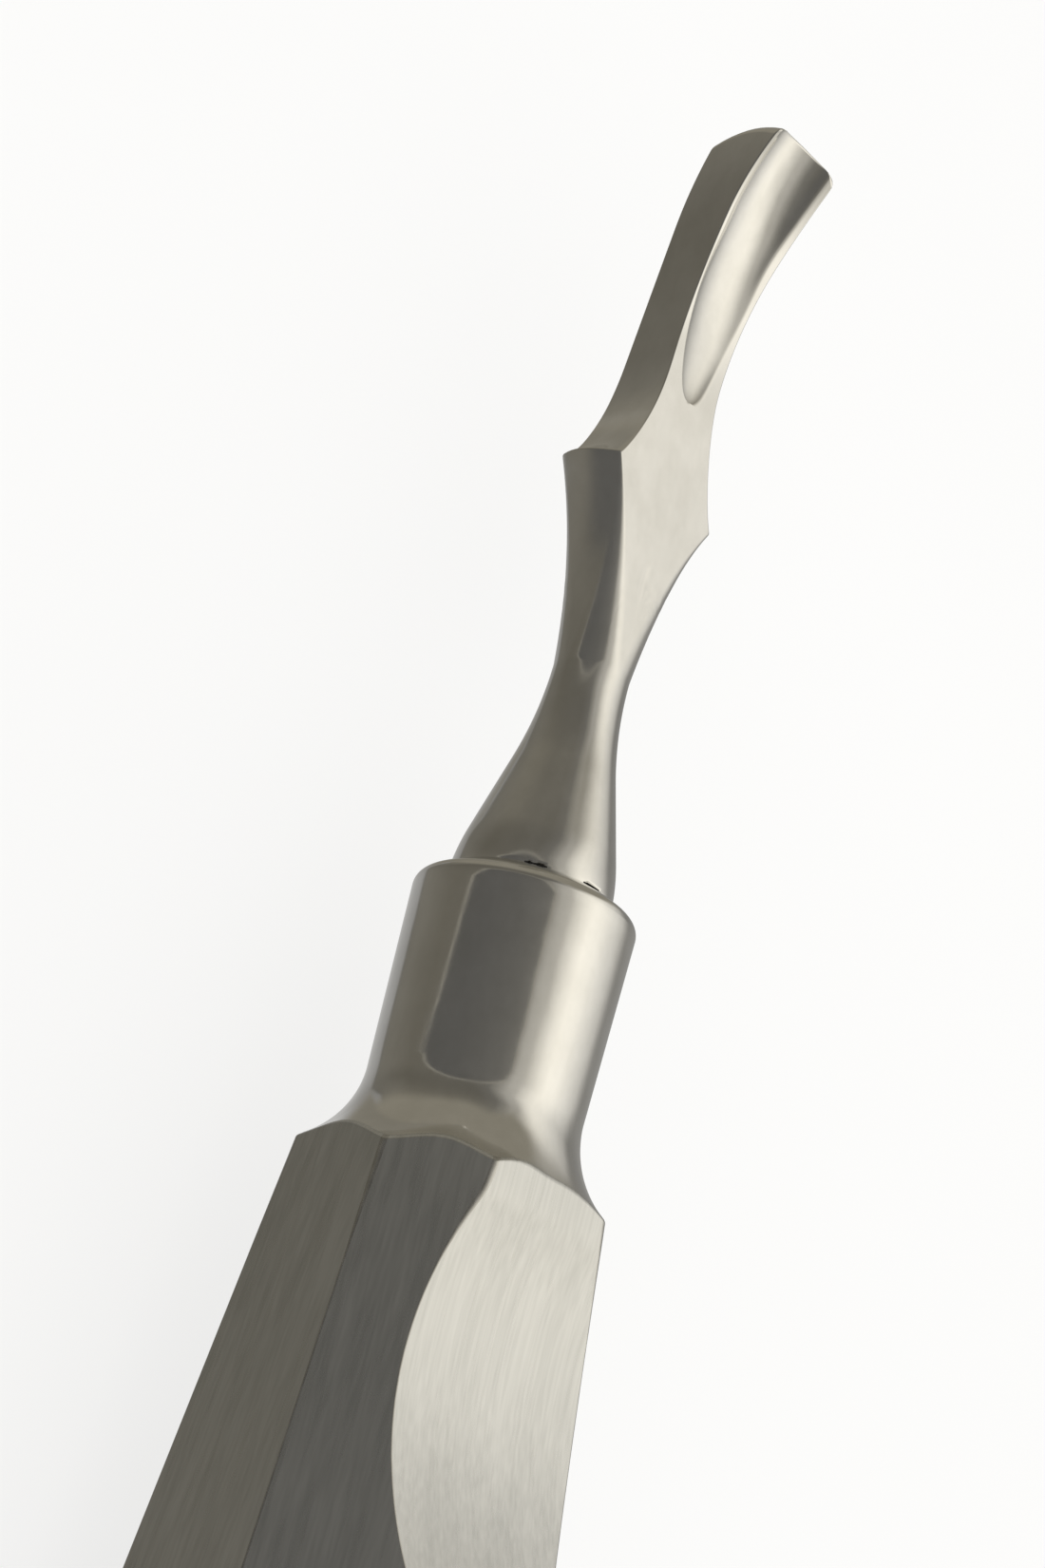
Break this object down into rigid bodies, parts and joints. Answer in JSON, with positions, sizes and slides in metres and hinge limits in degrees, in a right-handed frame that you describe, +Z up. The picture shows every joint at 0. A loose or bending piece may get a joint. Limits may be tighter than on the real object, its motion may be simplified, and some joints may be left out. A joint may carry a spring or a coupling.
{
  "type": "dental elevator",
  "caption": "Straight stainless steel dental elevator: gouge blade bent forward above a diamond hip, round shank foot on a polished neck, and a satin octagonal handle with a thumb rest.",
  "frame": {"origin": "centre of the bounding box on the surface that the instrument lies on, under the bottom facet of the handle", "axes": "+X along the instrument to the blade's nose, +Z up, which is the way the gouge and the front facet face, and +Y to the left"},
  "size_m": [0.1502, 0.015, 0.015],
  "materials": {
    "polished_blade_steel": "mirror-like polish with faint haze and fine wheel lines",
    "satin_handle_steel": "satin facets with long fine brushing; neck and flare polished",
    "braze_alloy": "dull cast silver braze, hidden in the socket"
  },
  "bodies": {
    "root": {"blade_and_shank": "polished_blade_steel", "handle_body": "satin_handle_steel", "butt_cap": "satin_handle_steel", "braze_ring": "braze_alloy"}
  },
  "joints": []
}
